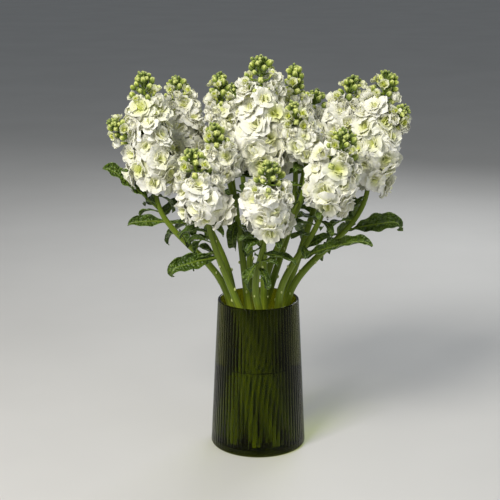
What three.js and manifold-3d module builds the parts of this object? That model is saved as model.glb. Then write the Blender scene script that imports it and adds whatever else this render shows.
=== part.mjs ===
// A bunch of double white stock (Matthiola incana) standing in a ribbed glass vase with water.
// Millimetres, +Z up. The origin is the centre of the vase's flat base.
import * as THREE from "three";
import { mergeVertices } from "three/addons/utils/BufferGeometryUtils.js";
import Module from "manifold-3d";

const wasm = await Module();
wasm.setup();

// Vase: a straight-tapered glass cylinder, wider at the foot, with upright ribs.
const vaseHeight = 200;
const footRadius = 63.5;
const rimRadius = 53.5;
const wall = 3.6;
const floorThickness = 7;
const edgeRound = 3;
const ribCount = 72;
const ribDepth = 1.3;
const boreSides = 48;

// Water, and the gap that separate solids keep from each other.
const waterLevel = 112;
const clearance = 0.35;

// Stems: each stands on the vase's floor, leans across the bunch and leaves through the mouth.
const stemSides = 6;
const stemFootRadius = 5.5;
const stemNeckRadius = 4.9;
const spikeBaseRadius = 3.1;
const rachisTipRadius = 1.9;
const neckHeight = vaseHeight + 6;
const footTurn = THREE.MathUtils.degToRad(118);
const footSpread = 1.12;
const bendSteps = 5;
const bendReach = 0.36;
const forkShare = 0.8;
const stalkInset = 0.6;

// Leaves: long blades, split across every leafStep along their length.
const leafThickness = 0.8;
const leafStep = 15;
const leafTrough = 0.3;
const leafWave = 0.14;

// Florets open in turn round a spike, each a golden angle from the one below.
const goldenAngle = THREE.MathUtils.degToRad(137.508);
const petalsPerWhorl = 4;
const nodding = -22;
const lookingUp = 46;
const coreShare = 0.56;

// Buds: a cluster at each tip and single ones. A whorl of the cluster is given by its height and width as
// shares of the cluster's own.
const clusterHeight = 24;
const clusterShare = 0.42;
const budsPerWhorl = 7;
const clusterWhorls = [[0.1, 1], [0.4, 0.88], [0.7, 0.6]];
const budLength = 17;
const budRadius = 4.4;

// Room cut out of a flower head for the buds above it and for each side shoot.
const roomReach = 60;
const budRoomFoot = -4;
const budRoomRim = 24;
const shootRoomRadii = [2.9, 11, 22];

const glassLook = { color: 0x24300f, roughness: 0.08, metalness: 0, transparent: true, opacity: 0.5 };
const waterLook = { color: 0x9fb08a, roughness: 0.02, metalness: 0, transparent: true, opacity: 0.4 };
const petalLook = { color: 0xf4f2e6, roughness: 0.6, metalness: 0 };
const stemLook = { color: 0x4f7a2c, roughness: 0.55, metalness: 0 };

// Each stem: its place in the mouth (angle in degrees, distance from the axis), its flower spikes and its
// leaves. A spike runs from its lowest floret at base to its topmost bud at tip, and is widest at radius.
// Above its open florets it is bare for bare millimetres, 2 unless given, with loose single buds there if it
// says buds. A spike with a fork leaves the route of the stem's first spike at that share of the way. A shoot
// is a short side branch with a cluster of its own: the share of the spike it leaves at, and its tip. A leaf
// is [share of the route, compass angle, rise at the root, length, width, droop], its angles in degrees.
const stems = [
  {
    mouth: [185, 41],
    spikes: [
      {
        base: [-132, -10, 344], tip: [-146, -10, 500], radius: 36, florets: 12,
        shoots: [{ at: 0.34, tip: [-188, -30, 440] }],
      },
    ],
    leaves: [[0.84, 194, 46, 96, 24, 4], [0.76, 186, 6, 50, 18, 10], [0.6, 80, 20, 55, 16, 50]],
  },
  {
    mouth: [225, 41],
    spikes: [{ base: [-64, -72, 322], tip: [-82, -100, 418], radius: 35, florets: 9 }],
    leaves: [[0.56, 208, -4, 74, 24, 18], [0.8, 150, 10, 40, 15, 70]],
  },
  {
    mouth: [190, 15],
    spikes: [
      { base: [-40, -29, 372], tip: [-58, -52, 440], radius: 26, florets: 7 },
      { base: [-40, 28, 398], tip: [-52, 34, 494], radius: 26, florets: 7, fork: 0.45, bare: 13, buds: 2 },
    ],
    leaves: [[0.6, 250, 0, 48, 17, 85], [0.75, 120, 20, 50, 16, 50]],
  },
  {
    mouth: [268, 41],
    spikes: [{ base: [8, -86, 312], tip: [14, -116, 404], radius: 35, florets: 9 }],
    leaves: [[0.55, 215, -8, 42, 17, 75], [0.5, 300, 5, 36, 13, 60]],
  },
  {
    mouth: [300, 15],
    spikes: [{ base: [4, -8, 368], tip: [3, -10, 520], radius: 39, florets: 13 }],
    leaves: [[0.55, 200, 5, 46, 16, 70], [0.66, 100, 15, 50, 16, 50]],
  },
  {
    mouth: [310, 41],
    spikes: [{ base: [82, -58, 336], tip: [106, -84, 438], radius: 37, florets: 9 }],
    leaves: [[0.44, 346, 21, 106, 20, 8], [0.85, 300, 30, 38, 11, 60]],
  },
  {
    mouth: [350, 41],
    spikes: [
      {
        base: [140, -4, 346], tip: [162, -4, 500], radius: 36, florets: 12,
        shoots: [{ at: 0.42, tip: [186, -26, 458] }],
      },
    ],
    leaves: [[0.66, 352, 16, 76, 24, 20], [0.93, 330, -15, 50, 17, 50]],
  },
  {
    mouth: [25, 41],
    spikes: [{ base: [96, 34, 392], tip: [126, 44, 488], radius: 30, florets: 8 }],
    leaves: [[0.6, 40, 10, 76, 20, 45], [0.8, 10, 10, 50, 16, 50]],
  },
  {
    mouth: [60, 15],
    spikes: [
      { base: [57, -40, 398], tip: [40, -62, 470], radius: 23, florets: 7 },
      { base: [48, 36, 400], tip: [46, 44, 504], radius: 24, florets: 6, fork: 0.4, bare: 24, buds: 3 },
    ],
    leaves: [[0.7, 90, 15, 50, 16, 50]],
  },
  {
    mouth: [65, 41],
    spikes: [{ base: [62, 82, 356], tip: [80, 116, 462], radius: 36, florets: 10 }],
    leaves: [[0.5, 70, 8, 84, 22, 45], [0.75, 20, 5, 60, 18, 45]],
  },
  {
    mouth: [108, 41],
    spikes: [{ base: [-22, 84, 360], tip: [-32, 116, 470], radius: 36, florets: 10 }],
    leaves: [[0.5, 100, 5, 80, 22, 45], [0.72, 140, 10, 60, 18, 45]],
  },
  {
    mouth: [148, 41],
    spikes: [{ base: [-92, 52, 362], tip: [-108, 66, 486], radius: 33, florets: 9 }],
    leaves: [[0.55, 150, 10, 82, 22, 45], [0.78, 190, 5, 60, 18, 45]],
  },
];

// A repeatable source of numbers from 0 to 1.
function seeded(seed) {
  let state = seed * 2654435761 + 12345;
  return () => {
    state = (Math.imul(state, 1664525) + 1013904223) >>> 0;
    return state / 4294967296;
  };
}

const upright = new THREE.Vector3(0, 0, 1);
const vector = (p) => new THREE.Vector3(...p);
const degrees = THREE.MathUtils.degToRad;

// A point at an angle and distance from the axis.
function polar(angle, distance, z) {
  return new THREE.Vector3(distance * Math.cos(angle), distance * Math.sin(angle), z);
}

// A closed geometry as a solid that can be joined and cut.
function solidOf(geometry) {
  const bare = geometry.clone();
  for (const name of Object.keys(bare.attributes)) {
    if (name !== "position") bare.deleteAttribute(name);
  }
  const merged = mergeVertices(bare, 1e-4);
  return new wasm.Manifold(
    new wasm.Mesh({
      numProp: 3,
      vertProperties: merged.attributes.position.array,
      triVerts: new Uint32Array(merged.index.array),
    }),
  );
}

// The solid as a named mesh.
function meshOf(solid, name, look) {
  const data = solid.getMesh();
  const geometry = new THREE.BufferGeometry()
    .setAttribute("position", new THREE.BufferAttribute(new Float32Array(data.vertProperties), 3))
    .setIndex(new THREE.BufferAttribute(new Uint32Array(data.triVerts), 1));
  geometry.computeVertexNormals();
  const mesh = new THREE.Mesh(geometry, new THREE.MeshStandardMaterial(look));
  mesh.name = name;
  return mesh;
}

const joined = (solids) => solids.reduce((sum, next) => sum.add(next));

// The largest body of a solid: what a cut leaves loose is dropped.
function largest(solid) {
  return solid.decompose().reduce((best, next) => (next.volume() > best.volume() ? next : best));
}

// A closed mesh from rings of points. Each ring has a whole number of points for each one of the smallest
// ring; a ring of one point closes an end.
function ringSkin(rings) {
  const positions = rings.flat().flatMap((p) => [p.x, p.y, p.z]);
  const index = [];
  let start = 0;
  for (let r = 0; r + 1 < rings.length; r += 1) {
    const low = rings[r].length;
    const high = rings[r + 1].length;
    const next = start + low;
    let i = 0;
    let j = 0;
    while (i < low || j < high) {
      const a = start + (i % low);
      const b = next + (j % high);
      // Walk whichever ring is behind, measured as a share of its own length. Where they are level the halves
      // of a ring go opposite ways, so that the two faces of a thin blade are split alike.
      const lead = (j + 0.5) / high - (i + 0.5) / low;
      const lowFirst = Math.abs(lead) < 1e-9 ? i < low / 2 : lead > 0;
      if (high === 1 || (low > 1 && i < low && lowFirst)) {
        index.push(a, start + ((i + 1) % low), b);
        i += 1;
        if (high === 1 && i === low) break;
      } else {
        index.push(a, next + ((j + 1) % high), b);
        j += 1;
        if (low === 1 && j === high) break;
      }
    }
    start = next;
  }
  return new THREE.BufferGeometry()
    .setAttribute("position", new THREE.Float32BufferAttribute(positions, 3))
    .setIndex(index);
}

// A frame that carries +Z onto a direction, at a point.
function placed(point, direction, turn = 0) {
  const aim = new THREE.Quaternion().setFromUnitVectors(upright, direction);
  const spin = new THREE.Quaternion().setFromAxisAngle(upright, turn);
  return new THREE.Matrix4().compose(point, aim.multiply(spin), new THREE.Vector3(1, 1, 1));
}

// A round, tapered stem along points, each with its own radius, closed at both ends.
function taperedTube(points, radii, sides) {
  const rings = points.map((p, i) => {
    const before = points[Math.max(i - 1, 0)];
    const after = points[Math.min(i + 1, points.length - 1)];
    const along = after.clone().sub(before).normalize();
    const across = new THREE.Vector3(0, 1, 0).cross(along).normalize();
    const up = along.clone().cross(across);
    return Array.from({ length: sides }, (_, k) => {
      const angle = (2 * Math.PI * k) / sides;
      return p
        .clone()
        .addScaledVector(across, radii[i] * Math.cos(angle))
        .addScaledVector(up, radii[i] * Math.sin(angle));
    });
  });
  return solidOf(ringSkin([[points[0]], ...rings, [points[points.length - 1]]]));
}

// Vase.
const wallRadius = (z) => THREE.MathUtils.lerp(footRadius, rimRadius, z / vaseHeight);

// A closed profile turned round the axis.
function lathe(profile, sides) {
  const points = profile.map(([r, z]) => new THREE.Vector2(r, z));
  return new THREE.LatheGeometry(points, sides).rotateX(Math.PI / 2);
}

// A level ring of points round the axis; in a ribbed one every other point lies in a valley between ribs.
function levelRing(radius, z, count, valley = 0) {
  const turn = (2 * Math.PI) / count;
  return Array.from({ length: count }, (_, k) => polar(k * turn, radius - (k % 2) * valley, z));
}

function vase() {
  const ribbed = (z) => levelRing(wallRadius(z), z, 2 * ribCount, ribDepth);
  const outside = ringSkin([
    [new THREE.Vector3(0, 0, 0)],
    levelRing(footRadius - edgeRound - ribDepth, 0, ribCount),
    ribbed(edgeRound),
    ribbed(vaseHeight - edgeRound),
    levelRing(rimRadius - ribDepth, vaseHeight, ribCount),
    [new THREE.Vector3(0, 0, vaseHeight)],
  ]);
  const inside = lathe(
    [
      [0, floorThickness],
      [wallRadius(floorThickness) - wall - edgeRound, floorThickness],
      [wallRadius(floorThickness + edgeRound) - wall, floorThickness + edgeRound],
      [rimRadius - wall, vaseHeight],
      [rimRadius - wall, vaseHeight + wall],
      [0, vaseHeight + wall],
    ],
    boreSides,
  );
  return solidOf(outside).subtract(solidOf(inside));
}

// The stretches of a spike along its axis: open florets from its base, a bare stretch, and the bud cluster.
function stretches(spike) {
  const base = vector(spike.base);
  const tip = vector(spike.tip);
  const axis = tip.clone().sub(base).normalize();
  const clusterFoot = tip.clone().addScaledVector(axis, -clusterHeight);
  const whiteEnd = clusterFoot.clone().addScaledVector(axis, -(spike.bare ?? 2));
  return { base, tip, axis, clusterFoot, whiteEnd };
}

// Stem routes: a straight run from the floor through the mouth, then a curve to the lowest floret.
function mouthPoint([angle, distance]) {
  return new THREE.Vector3(distance, 0, neckHeight).applyAxisAngle(upright, degrees(angle));
}

// The foot leans with its stem, so its centre is high enough for its lowest edge to rest on the floor.
function footPoint(mouth) {
  const foot = mouth.clone().setZ(0).multiplyScalar(footSpread).applyAxisAngle(upright, footTurn);
  const across = Math.hypot(mouth.x - foot.x, mouth.y - foot.y);
  const lean = Math.atan2(across, mouth.z - floorThickness);
  return foot.setZ(floorThickness + clearance + stemFootRadius * Math.sin(lean));
}

function routeOf(start, heading, spike) {
  const { base, axis } = stretches(spike);
  const reach = start.distanceTo(base) * bendReach;
  return new THREE.CubicBezierCurve3(
    start,
    start.clone().addScaledVector(heading, reach),
    base.clone().addScaledVector(axis, -reach),
    base,
  );
}

// A pointed bud on a short stalk, its root at the origin and its tip along +Z.
function budShape() {
  const profile = [
    [0, 0],
    [budRadius, budLength * 0.66],
    [0, budLength],
  ];
  return solidOf(lathe(profile, 4));
}

// The knot of unopened buds at a tip: whorls of rounded bumps, each a bud, set between those of the whorl
// below.
function budCluster(from, tip, radius) {
  const axis = tip.clone().sub(from).normalize();
  const height = from.distanceTo(tip);
  const turn = (2 * Math.PI) / budsPerWhorl;
  const rings = [[new THREE.Vector3(0, 0, -radius * 0.3)]];
  clusterWhorls.forEach(([rise, share], level) => {
    const phase = level * turn * 0.5;
    const spread = radius * share;
    const knobs = Array.from({ length: budsPerWhorl * 2 }, (_, k) => {
      const [out, lift] = k % 2 ? [0.62, -0.2] : [1, 0.16];
      return polar(phase + (k * turn) / 2, spread * out, height * rise + spread * lift);
    });
    const pinch = Array.from({ length: budsPerWhorl }, (_, k) =>
      polar(phase + (k + 0.5) * turn, spread * 0.64, height * (rise + 0.13)),
    );
    rings.push(knobs, pinch);
  });
  rings.push([new THREE.Vector3(0, 0, height)]);
  return solidOf(ringSkin(rings)).transform(placed(from, axis).elements);
}

// Single buds on the bare stretch of a spike between its open florets and its cluster.
function looseBuds(from, to, count, random) {
  const axis = to.clone().sub(from).normalize();
  return Array.from({ length: count }, (_, i) => {
    const rise = degrees(46 + 12 * random());
    const direction = new THREE.Vector3(Math.cos(rise), 0, Math.sin(rise))
      .applyAxisAngle(upright, i * goldenAngle + random())
      .applyQuaternion(new THREE.Quaternion().setFromUnitVectors(upright, axis));
    const root = from.clone().lerp(to, (i + 0.5) / count);
    return budShape().transform(placed(root, direction).elements);
  });
}

// A blade with a sunk midrib and waved edges, arched from a point inside its stem.
function leaf(root, compass, rise, length, width, droop, random) {
  const heading = new THREE.Vector3(1, 0, 0).applyAxisAngle(upright, degrees(compass));
  const side = heading.clone().cross(upright);
  const stations = Math.max(Math.round(length / leafStep), 4);
  const phase = random() * 6;
  const point = root.clone();
  const rings = [[root.clone()]];
  for (let i = 1; i <= stations; i += 1) {
    const share = i / stations;
    const slope = degrees(rise - droop * share * 1.6);
    const along = heading.clone().multiplyScalar(Math.cos(slope)).setZ(Math.sin(slope));
    const normal = side.clone().cross(along).normalize();
    point.addScaledVector(along, length / stations);
    const half = (width / 2) * Math.sin(Math.PI * (0.08 + 0.86 * share ** 1.5));
    const wave = leafWave * width * Math.sin(phase + 5.5 * share);
    const top = [-1, 0, 1].map((turn) => {
      const lift = leafTrough * half * Math.abs(turn) + wave * turn;
      return point.clone().addScaledVector(side, turn * half).addScaledVector(normal, lift);
    });
    const under = top.map((p) => p.clone().addScaledVector(normal, -leafThickness)).reverse();
    rings.push(i < stations ? [...top, ...under] : [point.clone()]);
  }
  return solidOf(ringSkin(rings));
}

// One double floret, its root at the origin and its face along +Z: a ring of rounded outer petals on a
// three-sided stalk, and a smaller cupped ring standing in it, turned by half a petal.
function floretShape(radius, depth, cup, random) {
  const petalTurn = (2 * Math.PI) / petalsPerWhorl;
  const stalk = Array.from({ length: 3 }, (_, k) => polar(2.1 * k, radius * 0.26, -cup));
  const outer = [];
  const valley = [];
  const inner = [];
  for (let k = 0; k < petalsPerWhorl; k += 1) {
    const reach = radius * (0.92 + 0.16 * random());
    const lift = radius * (0.16 * random() - 0.1);
    for (const [turn, share, rise] of [[-0.26, 1, 0], [0.26, 1, 0.08], [0.5, 0.68, -0.06]]) {
      outer.push(polar((k + turn) * petalTurn, reach * share, lift + rise * radius));
    }
    valley.push(polar((k + 0.1) * petalTurn, radius * 0.4, radius * -0.02));
    inner.push(polar((k + 0.5) * petalTurn, radius * 0.54, radius * (0.36 + 0.14 * random())));
  }
  const ends = [-depth, radius * 0.16].map((z) => [new THREE.Vector3(0, 0, z)]);
  return solidOf(ringSkin([ends[0], stalk, outer, valley, inner, ends[1]]));
}

// Open florets packed round the spike's axis on a slim core, the lowest nodding and the highest looking up.
function openFlorets(spike, length, random) {
  const slim = spike.radius * coreShare;
  const core = [
    [0, 0],
    [slim * 0.7, length * 0.06],
    [slim, length * 0.3],
    [slim * 0.8, length * 0.86],
    [0, length],
  ];
  const florets = Array.from({ length: spike.florets }, (_, i) => {
    const share = (i + 0.5) / spike.florets;
    const size = spike.radius * THREE.MathUtils.lerp(0.62, 0.5, share);
    const rise = degrees(THREE.MathUtils.lerp(nodding, lookingUp, share ** 1.3));
    const out = spike.radius * (0.7 + 0.2 * share - 0.4 * share ** 2);
    const depth = out - slim * 0.3;
    const cup = Math.max(out - slim - 1, 4);
    const direction = new THREE.Vector3(Math.cos(rise), 0, Math.sin(rise));
    const spin = new THREE.Matrix4().makeRotationZ(i * goldenAngle + random() * 0.3);
    const centre = new THREE.Vector3(out, 0, length * (0.1 + 0.84 * share));
    const frame = spin.multiply(placed(centre, direction, random() * 6));
    return floretShape(size, depth, cup, random).transform(frame.elements);
  });
  return joined([solidOf(lathe(core, 7)), ...florets]);
}

// A flower head: its open florets, with room cut for the buds above, for the stem through its middle and for
// side shoots.
function bloomHead(spike, random) {
  const { base, tip, axis, whiteEnd } = stretches(spike);
  const length = base.distanceTo(whiteEnd);
  const boreRadius = spikeBaseRadius / Math.cos(Math.PI / stemSides) + clearance;
  const budRoom = [
    [0, length + budRoomFoot],
    [roomReach, length + budRoomRim],
    [roomReach, length + roomReach],
    [0, length + roomReach],
  ];
  const bore = [
    [0, -roomReach],
    [boreRadius, -roomReach],
    [boreRadius, length + roomReach],
    [0, length + roomReach],
  ];
  const head = openFlorets(spike, length, random)
    .subtract(solidOf(lathe(budRoom, 8)))
    .subtract(solidOf(lathe(bore, stemSides)))
    .transform(placed(base, axis).elements);
  const shootRooms = (spike.shoots ?? []).map((shoot) => {
    const from = base.clone().lerp(tip, shoot.at);
    const end = vector(shoot.tip);
    const points = [from, from.clone().lerp(end, 0.35), from.clone().lerp(end, 1.4)];
    return taperedTube(points, shootRoomRadii, stemSides);
  });
  return largest(shootRooms.reduce((left, room) => left.subtract(room), head));
}

// The end of a stalk, inside the cluster of buds at its tip.
function shortOf(tip, from) {
  const back = from.clone().sub(tip).normalize();
  return tip.clone().addScaledVector(back, clusterHeight * stalkInset);
}

// One green stem with its forks, side shoots, leaves and buds.
function leafyStem(stem, random) {
  const mouth = mouthPoint(stem.mouth);
  const foot = footPoint(mouth);
  const heading = mouth.clone().sub(foot).normalize();
  const pieces = [];
  const main = routeOf(mouth, heading, stem.spikes[0]);
  for (const spike of stem.spikes) {
    const fork = spike.fork ?? 0;
    const route = fork ? routeOf(main.getPoint(fork), main.getTangent(fork), spike) : main;
    const bend = route.getPoints(bendSteps);
    const { base, tip, clusterFoot, whiteEnd } = stretches(spike);
    const widest = fork ? stemNeckRadius * forkShare : stemNeckRadius;
    const bendRadii = bend.map((_, i) => THREE.MathUtils.lerp(widest, spikeBaseRadius, i / bendSteps));
    const points = [...bend, shortOf(tip, base)];
    const radii = [...bendRadii, rachisTipRadius];
    if (!fork) {
      points.unshift(foot);
      radii.unshift(stemFootRadius);
    }
    pieces.push(taperedTube(points, radii, stemSides));
    pieces.push(budCluster(clusterFoot, tip, spike.radius * clusterShare));
    pieces.push(...looseBuds(whiteEnd, clusterFoot, spike.buds ?? 0, random));
    for (const shoot of spike.shoots ?? []) {
      const from = base.clone().lerp(tip, shoot.at);
      const end = vector(shoot.tip);
      pieces.push(taperedTube([from, shortOf(end, from)], [rachisTipRadius, rachisTipRadius], stemSides));
      pieces.push(budCluster(shortOf(end, from).lerp(from, 0.2), end, spike.radius * clusterShare * 0.8));
    }
  }
  for (const [share, ...shape] of stem.leaves) {
    pieces.push(leaf(main.getPoint(share), ...shape, random));
  }
  return joined(pieces);
}

// Water up to its level, with a plain hole for each stem.
function water(mouths) {
  const floor = floorThickness + clearance;
  const inner = (z) => wallRadius(z) - wall - clearance * 1.5;
  const body = solidOf(
    lathe(
      [
        [0, floor],
        [inner(floor) - edgeRound, floor],
        [inner(floor + edgeRound), floor + edgeRound],
        [inner(waterLevel), waterLevel],
        [0, waterLevel],
      ],
      boreSides,
    ),
  );
  const holes = mouths.map((mouth) => {
    const foot = footPoint(mouth);
    const below = foot.clone().sub(mouth).multiplyScalar(0.2).add(foot);
    const grown = stemFootRadius / Math.cos(Math.PI / stemSides) + clearance;
    return taperedTube([below, mouth], [grown * 1.02, grown], stemSides);
  });
  return body.subtract(joined(holes));
}

const bunch = new THREE.Group();
bunch.name = "stock_in_vase";
bunch.add(meshOf(vase(), "vase", glassLook));
bunch.add(meshOf(water(stems.map((stem) => mouthPoint(stem.mouth))), "water", waterLook));
const twoDigits = (n) => String(n).padStart(2, "0");
let bloomNumber = 0;
stems.forEach((stem, i) => {
  bunch.add(meshOf(leafyStem(stem, seeded(i + 1)), `stem_${twoDigits(i + 1)}`, stemLook));
  for (const spike of stem.spikes) {
    bloomNumber += 1;
    const head = bloomHead(spike, seeded(bloomNumber + 40));
    bunch.add(meshOf(head, `bloom_${twoDigits(bloomNumber)}`, petalLook));
  }
});

export default bunch;
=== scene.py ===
# A bunch of double white stock in a ribbed, olive-green glass vase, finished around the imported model.
# The file follows the bunch as it is put together: the vase, its water, the stalks, the leaves, and last the
# flowers and buds of each spike. Sizes are in metres, with mm for those that are better read in millimetres.
import math
import random
from dataclasses import dataclass
from types import SimpleNamespace

import bmesh
import bpy
from mathutils import Matrix, Vector, geometry, noise


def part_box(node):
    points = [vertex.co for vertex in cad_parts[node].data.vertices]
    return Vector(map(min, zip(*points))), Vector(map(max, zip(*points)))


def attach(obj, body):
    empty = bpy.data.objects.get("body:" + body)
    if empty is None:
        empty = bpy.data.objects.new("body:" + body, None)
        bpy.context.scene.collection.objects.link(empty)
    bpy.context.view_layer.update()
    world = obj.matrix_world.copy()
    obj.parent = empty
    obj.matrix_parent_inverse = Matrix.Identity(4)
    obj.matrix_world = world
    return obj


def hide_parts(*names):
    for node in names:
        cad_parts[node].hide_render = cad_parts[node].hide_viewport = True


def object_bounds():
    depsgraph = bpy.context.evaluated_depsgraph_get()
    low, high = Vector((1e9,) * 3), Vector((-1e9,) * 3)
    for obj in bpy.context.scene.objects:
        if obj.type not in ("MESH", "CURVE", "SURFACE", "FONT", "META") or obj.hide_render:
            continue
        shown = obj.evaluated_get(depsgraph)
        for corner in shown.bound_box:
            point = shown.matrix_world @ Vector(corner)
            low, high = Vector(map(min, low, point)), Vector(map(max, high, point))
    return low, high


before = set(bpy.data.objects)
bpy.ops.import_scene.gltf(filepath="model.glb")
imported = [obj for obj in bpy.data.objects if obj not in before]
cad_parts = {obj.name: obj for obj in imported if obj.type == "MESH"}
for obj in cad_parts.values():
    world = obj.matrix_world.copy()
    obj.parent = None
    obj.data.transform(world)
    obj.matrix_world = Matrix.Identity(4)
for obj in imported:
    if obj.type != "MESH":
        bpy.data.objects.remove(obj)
cad_low, cad_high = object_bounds()
mm = 0.001

# The setting: a pale matt floor, a large soft lamp from the upper left, a weaker one from the right and one
# behind, and the camera a little above the flowers and looking down on them.
floor_reach = 20.0
camera_place = Vector((-0.011, -1.58, 0.674))
camera_pitch = math.radians(14.5)
camera_lens = 90
sky_colour = (0.80, 0.86, 0.92)
sky_strength = 0.19
lamp_aim = 0.6  # the height that the lamps point at, as a share of the bunch's
sharp_fold = math.radians(50)  # in every mesh, edges folded more than this stay sharp
lamps = {
    "key": {"place": (-0.75, -1.15, 1.55), "size": 0.7, "power": 34, "colour": (1.0, 0.97, 0.91)},
    "fill": {"place": (1.35, -0.9, 0.9), "size": 1.2, "power": 4, "colour": (0.90, 0.95, 1.0)},
    "back": {"place": (0.5, 1.3, 1.2), "size": 1.0, "power": 10, "colour": (0.96, 0.98, 1.0)},
}


def new_material(name, constants):
    """A material with one Principled shader, and its sockets that are the same all over the surface."""
    material = bpy.data.materials.new(name)
    material.use_nodes = True
    shader = material.node_tree.nodes["Principled BSDF"]
    for socket, value in constants.items():
        shader.inputs[socket].default_value = value
    return material


def add_node(material, kind, sockets, **settings):
    """One shader node. A socket is fed by another node's output or holds a constant."""
    made = material.node_tree.nodes.new("ShaderNode" + kind)
    for name, value in settings.items():
        setattr(made, name, value)
    for name, value in sockets.items():
        if isinstance(value, bpy.types.NodeSocket):
            material.node_tree.links.new(value, made.inputs[name])
        else:
            made.inputs[name].default_value = value
    return made


def feed(material, socket, output, node="Principled BSDF"):
    """Drives a socket of the material's shader, or of another of its nodes."""
    material.node_tree.links.new(output, material.node_tree.nodes[node].inputs[socket])


def graded(material, factor, stops):
    """The colour along a scale of (position, colour) stops."""
    ramp = add_node(material, "ValToRGB", {"Fac": factor})
    points = ramp.color_ramp.elements
    while len(points) < len(stops):
        points.new(0.5)
    for point, (position, colour) in zip(points, stops):
        point.position = position
        point.color = (*colour, 1)
    return ramp.outputs["Color"]


def speckle(material, scale, detail):
    """Noise from 0 to 1 that is fixed to the object."""
    place = add_node(material, "TexCoord", {}).outputs["Object"]
    return add_node(material, "TexNoise", {"Vector": place, "Scale": scale, "Detail": detail}).outputs["Fac"]


def mesh_of(name, bm):
    """What was built, as a mesh with smooth faces."""
    for face in bm.faces:
        face.smooth = True
    mesh = bpy.data.meshes.new(name)
    bm.to_mesh(mesh)
    bm.free()
    return mesh


def finished(name, bm, *materials):
    """What was built, as a smooth object at the origin, with its sharp folds kept."""
    for edge in bm.edges:
        edge.smooth = edge.calc_face_angle(0) < sharp_fold
    mesh = mesh_of(name, bm)
    for material in materials:
        mesh.materials.append(material)
    made = bpy.data.objects.new(name, mesh)
    bpy.context.collection.objects.link(made)
    return made


floor_paint = new_material("matt_floor", {"Roughness": 0.7})
mottle = speckle(floor_paint, scale=3.0, detail=3.0)
floor_colour = graded(floor_paint, mottle, [(0.3, (0.66, 0.65, 0.63)), (0.7, (0.70, 0.69, 0.67))])
feed(floor_paint, "Base Color", floor_colour)
bm = bmesh.new()
bmesh.ops.create_grid(bm, x_segments=1, y_segments=1, size=floor_reach)
finished("floor", bm, floor_paint)

for name, lamp in lamps.items():
    light = bpy.data.lights.new(name, "AREA")
    light.size = lamp["size"]
    light.energy = lamp["power"]
    light.color = lamp["colour"]
    holder = bpy.data.objects.new(name, light)
    holder.location = lamp["place"]
    aim = Vector((0, 0, cad_high.z * lamp_aim)) - holder.location
    holder.rotation_euler = aim.to_track_quat("-Z", "Y").to_euler()
    bpy.context.collection.objects.link(holder)

world = bpy.data.worlds.new("soft_sky")
world.use_nodes = True
sky = world.node_tree.nodes["Background"].inputs
sky["Color"].default_value = (*sky_colour, 1)
sky["Strength"].default_value = sky_strength
bpy.context.scene.world = world
bpy.context.scene.view_settings.view_transform = "Standard"

camera = bpy.data.objects.new("camera", bpy.data.cameras.new("camera"))
camera.data.lens = camera_lens
camera.location = camera_place
camera.rotation_euler = (math.radians(90) - camera_pitch, 0, 0)
bpy.context.collection.objects.link(camera)
bpy.context.scene.camera = camera

# The vase: one thick, straight-tapered cylinder of dark olive-green glass, wider at its foot. It is pressed
# in a mould that leaves upright ribs all round, and its rim and foot are fire-polished round.
vase_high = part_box("vase")[1]
rib_count = 72
facets_per_rib = 8
rib_depth = 0.9 * mm
groove_power = 2.5  # the higher it is, the narrower the grooves between the ribs
foot_radius = vase_high.x
rim_radius = 53.5 * mm
glass_wall = 3.6 * mm
glass_floor = 7 * mm
edge_round = 3 * mm
rim_round = 1.6 * mm
arc_steps = 4


def wall_radius(z):
    """The glass's outer radius over the ribs' crests at a height."""
    return foot_radius + (rim_radius - foot_radius) * z / vase_high.z


def rib_dip(turn):
    """How far the surface lies below the crests: flat ribs, with a narrow groove between each two."""
    return rib_depth * (1 - abs(math.cos(turn * rib_count / 2))) ** groove_power


def quarter(centre_radius, centre_z, size, start):
    """Points of a quarter circle in the wall's section, anticlockwise from the start angle."""
    turns = [start + math.pi / 2 * step / arc_steps for step in range(arc_steps + 1)]
    return [(centre_radius + size * math.cos(turn), centre_z + size * math.sin(turn)) for turn in turns]


outside = quarter(wall_radius(edge_round) - edge_round, edge_round, edge_round, -math.pi / 2)
lip = quarter(rim_radius - rim_round, vase_high.z - rim_round, rim_round, 0)
lip += quarter(rim_radius - glass_wall + rim_round, vase_high.z - rim_round, rim_round, math.pi / 2)
bore_corner = wall_radius(glass_floor + edge_round) - glass_wall - edge_round
inside = quarter(bore_corner, glass_floor + edge_round, edge_round, -math.pi / 2)[::-1]
ribbed_rings = [*outside[2:], lip[0]]  # from halfway up the foot's rounding to where the rim's begins


def pass_lamps(material, tint):
    """Lets the lamps light what stands behind the surface, as real glass and water do."""
    clear = add_node(material, "BsdfTransparent", {"Color": (*tint, 1)}).outputs["BSDF"]
    shadow = add_node(material, "LightPath", {}).outputs["Is Shadow Ray"]
    bent = material.node_tree.nodes["Principled BSDF"].outputs["BSDF"]
    either = add_node(material, "MixShader", {"Fac": shadow, 1: bent, 2: clear})
    feed(material, "Surface", either.outputs["Shader"], "Material Output")


def stretched_noise(material, place, stretch, **sockets):
    """Noise over a place that is scaled first, so that its marks are long in one direction."""
    scaled = add_node(material, "Mapping", {"Vector": place, "Scale": stretch}).outputs["Vector"]
    return add_node(material, "TexNoise", {"Vector": scaled, **sockets}).outputs["Fac"]


def relief(material, height, strength, distance):
    """Bumps that rise where a pattern is light, or sink there where the distance is negative."""
    bump = add_node(material, "Bump", {"Height": height, "Strength": strength, "Distance": distance})
    feed(material, "Normal", bump.outputs["Normal"])


def set_ring(ring, radius, z):
    """Moves a ring of points to a radius and height, with the ribs pressed in where they run."""
    ribbed = (radius, z) in ribbed_rings
    for vertex in ring:
        turn = math.atan2(vertex.co.y, vertex.co.x)
        place = radius - rib_dip(turn) * ribbed
        vertex.co = (place * math.cos(turn), place * math.sin(turn), z)


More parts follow.
